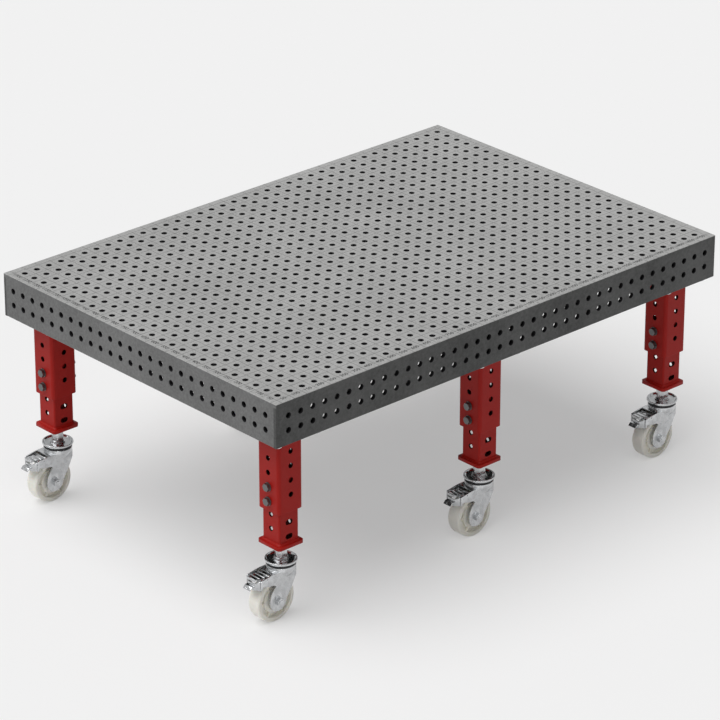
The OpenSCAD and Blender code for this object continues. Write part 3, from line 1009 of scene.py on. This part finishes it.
bolts = {
    "radius": 8.0,
    "across": 24.0,  # over the flats of heads and nuts
    "head": 10.0,  # height of a head
    "washer": 15.0,  # radius of a washer
    "thick": 3.0,  # and its thickness
    "overlap": 1.0,  # of a bolt's pieces
    "flangeSpot": 80.0,  # flange bolts from the leg axis
    "flangeShank": 7.9,
    "flangeBore": 8.2,  # bore of their washers
    "flangeNut": 12.0,  # height of their nuts
    "flangeEnd": 17.0,  # their ends below the flange
    "drops": (190.0, 240.0),  # height bolts below the flange
    "shankEnd": 12.0,  # of the height bolts, beyond the tube
    "shankBevel": 0.5,
    "headBore": 8.0,  # bores of the washers at head and nut
    "nutBore": 8.1,
    "heightNut": 13.0,
    "heightEnd": 30.0,
}


def makeBolts():
    # Flange bolts stand under the seats, height bolts pass through both tubes
    radius, across, wide, thick = bolts["radius"], bolts["across"], bolts["washer"], bolts["thick"]
    overlap, spot, reach = bolts["overlap"], bolts["flangeSpot"], outerTube["width"] / 2
    low, high = leg["flangeZ"], leg["flangeZ"] + 2 * leg["flange"]
    nutTop = low - thick
    bolt = merge(hexagon(across, high, high + bolts["head"], False, True),
                 rod(bolts["flangeShank"], nutTop - overlap, high + overlap),
                 thread(radius, low - bolts["flangeEnd"], nutTop),
                 washer(wide, bolts["flangeBore"], nutTop, low),
                 hexagon(across, nutTop - bolts["flangeNut"], nutTop))
    four = merge(*(move(bolt, sx * spot, sy * spot) for sx in (-1, 1) for sy in (-1, 1)))
    addPiece("flangeBolts", atLegs(four), "table", "zinc", "flange_bolts", sharp=30)
    heads, nuts = [], []
    under, over = -reach - thick, reach + thick
    for drop in bolts["drops"]:
        z = leg["flangeZ"] - drop
        head = merge(hexagon(across, under - bolts["head"], under, True, False),
                     washer(wide, bolts["headBore"], under, -reach),
                     rod(radius, under - overlap, reach + bolts["shankEnd"], bolts["shankBevel"]),
                     thread(radius, reach + bolts["shankEnd"] - overlap, reach + bolts["heightEnd"]))
        nut = merge(washer(wide, bolts["nutBore"], reach, over),
                    hexagon(across, over, over + bolts["heightNut"]))
        heads.append(move(head, z=z, axis="X"))
        nuts.append(move(nut, z=z, axis="X"))
    heads, nuts = atLegs(merge(*heads)), atLegs(merge(*nuts))
    addPiece("heightBolts", heads, "table", "dark_bolts", "height_bolts", sharp=30)
    addPiece("heightNuts", nuts, "table", "zinc", "height_nuts", sharp=30)


makeLegs()
makeBolts()
print("legs and bolts are built")


# Casters

caster = {
    "trail": 42.0,  # axle behind the swivel axis
    "axleZ": 75.0,
    "forkOut": 35.0,  # half width over the cheeks
}
stem = {
    # Radius and height of the king pin's profile, from its lower collar to the upper one
    "pin": ((0.5, 168), (16, 168), (17, 169), (17, 175.4), (16.5, 175.9), (10, 175.9), (10, 191.5),
            (12, 191.5), (12, 203), (21, 203), (22, 204), (22, 208), (21, 209), (0.5, 209)),
    "across": 36.0,  # over the flats of spacer and nut
    "spacerZ": 209.0,  # underside of the spacer
    "stud": 12.0,  # radius of the stud
    "nut": 19.0,  # height of its nut
    "studTop": 20.0,  # plain stud above the foot plate
    "thread": (18.0, 23.0),  # thread above the foot plate
}
cap = {
    # Radius, height and rounding of the corners of its section
    "section": ((12.1, 191.5, 0), (47, 191.5, 2), (52.5, 196, 1.5), (52.5, 200.5, 1.5), (51.5, 202.6, 1),
                (49.2, 202.6, 1), (48.1, 200.5, 1.5), (43, 196.5, 2), (25, 196.5, 1.5), (24, 203, 1),
                (12.1, 203, 0)),
    "dish": (24.5, 48.5),  # radii between which it is polished
    "dishZ": 195.0,  # and above this height
}
seal = {
    "section": ((44.2, 184.9, 1.2), (47.6, 184.9, 1.2), (47.6, 191.4, 1.2), (44.2, 191.4, 1.2)),
}


def makeStems():
    footZ, footTop = leg["footZ"], leg["footZ"] + leg["footThick"]
    threadLow, threadHigh = stem["thread"]
    solid = merge(lathe(stem["pin"], 48, False),
                  hexagon(stem["across"], stem["spacerZ"], footZ),
                  rod(stem["stud"], footZ - bolts["overlap"], footTop + stem["studTop"]),
                  hexagon(stem["across"], footTop, footTop + stem["nut"]),
                  thread(stem["stud"], footTop + threadLow, footTop + threadHigh))
    addPiece("casterStems", atLegs(solid), "table", "zinc", "caster_stems", sharp=30)
    head = lathe(rounded(cap["section"], 3), 96)
    points, faces, slots = head[0], head[1], head[3]
    inner, outer = cap["dish"]
    for k, face in enumerate(faces):
        reach = max(math.hypot(*points[v][:2]) for v in face)
        if inner < reach < outer and min(points[v][2] for v in face) > cap["dishZ"]:
            slots[k] = 1
    addPiece("casterCaps", atLegs(head), "table", "zinc", "caster_caps", sharp=35,
             materials=("zinc", "mirror"))
    ring = lathe(rounded(seal["section"], 3), 96)
    addPiece("casterSeals", atLegs(ring), "table", "seal_rubber", "caster_seals", sharp=40)


sheetMetal = {
    "weld": 0.01,  # points closer than this are one
    "level": 0.5,  # degrees below which two faces are one
    "sharp": 32.0,  # degrees above which an edge is rounded
    "forkBevel": 0.5,
    "pedalBevel": 0.4,
    "steps": 2,
    "profile": 0.6,
    "crease": 38.0,  # degrees above which an edge stays sharp in the shading
}


def bevelledCopy(node, width):
    # The node's own shape about its leg axis, with its sharp edges rounded
    work = bmesh.new()
    work.from_mesh(nodes[node].data)
    bmesh.ops.translate(work, vec=(-legs[0][0] * mm, -legs[0][1] * mm, 0), verts=work.verts)
    bmesh.ops.remove_doubles(work, verts=work.verts, dist=sheetMetal["weld"] * mm)
    level = math.radians(sheetMetal["level"])
    bmesh.ops.dissolve_limit(work, angle_limit=level, verts=work.verts, edges=work.edges)
    limit = math.radians(sheetMetal["sharp"])
    sharp = [e for e in work.edges if len(e.link_faces) == 2 and e.calc_face_angle() > limit]
    bmesh.ops.bevel(work, geom=sharp, offset=width * mm, segments=sheetMetal["steps"],
                    profile=sheetMetal["profile"], affect="EDGES", clamp_overlap=True)
    mesh = bpy.data.meshes.new(node)
    work.to_mesh(mesh)
    work.free()
    mesh.polygons.foreach_set("use_smooth", [True] * len(mesh.polygons))
    mesh.set_sharp_from_angle(angle=math.radians(sheetMetal["crease"]))
    for material in ("zinc", "mirror"):
        mesh.materials.append(finish[material])
    return mesh


tread = {
    "rear": -124.5,  # its rear end, with the leg axis at 0
    "length": 55.0,
    "ribTop": 174.0,  # height of its ribs at the rear end
    "fall": 6.0,  # by which they get lower over its length
    "polished": (-124.0, -70.0),  # from where to where its floor is polished
    "floor": (4.0, 1.4),  # the floor lies between these depths under the ribs
    "level": 0.7,  # least rise of its faces' normals
}


def polishTread(pedal):
    # The floor of the tread, between its ribs
    rear, front = tread["polished"]
    deep, shallow = tread["floor"]
    for face in pedal.polygons:
        x, _, z = (c / mm for c in face.center)
        ribTop = tread["ribTop"] - tread["fall"] * (x - tread["rear"]) / tread["length"]
        if rear < x < front and face.normal.z > tread["level"] and ribTop - deep < z < ribTop - shallow:
            face.material_index = 1


wheelShape = {
    # Radius, height and rounding of its corners, from the middle of the tread to the hub's end
    "section": [(75, 0, 0), (75, 20, 2), (73.5, 23.5, 3), (70, 25, 2), (60, 25, 1.5), (60, 11, 4),
                (45, 11, 4), (45, 20, 1.5), (22, 20, 2), (22, 28, 1.5), (10.05, 28, 0.5)],
    "ribs": 6,  # on each side, across the web
    "ribTurn": 28.0,  # degrees at which the first rib stands
    "ribSpan": (43.5, 61.5),  # from radius to radius
    "ribDepth": (9.0, 19.5),  # from the middle of the wheel
    "ribHalf": 2.0,  # half width
    "ribBevel": 1.2,
}


def makeWheel():
    side = wheelShape["section"]
    other = [(radius, -height, rounding) for radius, height, rounding in reversed(side[1:])]
    parts = [lathe(rounded(side + other, 4), 128)]
    (start, end), (near, far), half = wheelShape["ribSpan"], wheelShape["ribDepth"], wheelShape["ribHalf"]
    outline = [(start, -half), (end, -half), (end, half), (start, half)]
    for k in range(wheelShape["ribs"]):
        turn = wheelShape["ribTurn"] + 360 / wheelShape["ribs"] * k
        for low, high in ((near, far), (-far, -near)):
            parts.append(move(slab(outline, low, high, wheelShape["ribBevel"]), turn=turn))
    return move(merge(*parts), -caster["trail"], 0, caster["axleZ"], axis="Y")


axleShape = {
    "nut": 13.0,  # height of its nut
    "end": 15.5,  # its end beyond the cheek
    "endBevel": 1.5,
    "sleeve": 10.0,  # radius of the sleeve
    "sleeveIn": 4.0,  # its ends inside the cheeks' faces
    "sleeveBevel": 0.5,
    "washer": (15.0, 9.0),  # radius and bore
    "washerIn": 5.4,  # its middle inside the cheek's face
    "washerHalf": 1.4,  # half thickness
}


def makeAxle():
    out, across, shape = caster["forkOut"], bolts["across"], axleShape
    sleeveEnd = out - shape["sleeveIn"]
    parts = [hexagon(across, out, out + bolts["head"], False, True),
             rod(bolts["radius"], -out - shape["end"], out + bolts["overlap"], shape["endBevel"]),
             hexagon(across, -out - shape["nut"], -out, True, False),
             rod(shape["sleeve"], -sleeveEnd, sleeveEnd, shape["sleeveBevel"])]
    for side in (-1, 1):
        middle = side * (out - shape["washerIn"])
        parts.append(washer(*shape["washer"], middle - shape["washerHalf"], middle + shape["washerHalf"]))
    return move(merge(*parts), -caster["trail"], 0, caster["axleZ"], axis="Y")


def makeCasters():
    fork = bevelledCopy("fork_1", sheetMetal["forkBevel"])
    pedal = bevelledCopy("pedal_1", sheetMetal["pedalBevel"])
    polishTread(pedal)
    wheel, axle = makeWheel(), makeAxle()
    for k, (x, y) in enumerate(legs, 1):
        place = (x, y, 0)
        addMesh(f"fork{k}", fork, f"swivel_{k}", f"fork_{k}", place)
        addMesh(f"pedal{k}", pedal, f"pedal_{k}", f"pedal_{k}", place)
        addPiece(f"axle{k}", axle, f"swivel_{k}", "zinc", f"axle_{k}", place, 30)
        addPiece(f"wheel{k}", wheel, f"wheel_{k}", "nylon", f"wheel_{k}", place, 30)


makeStems()
makeCasters()
print("casters are built")
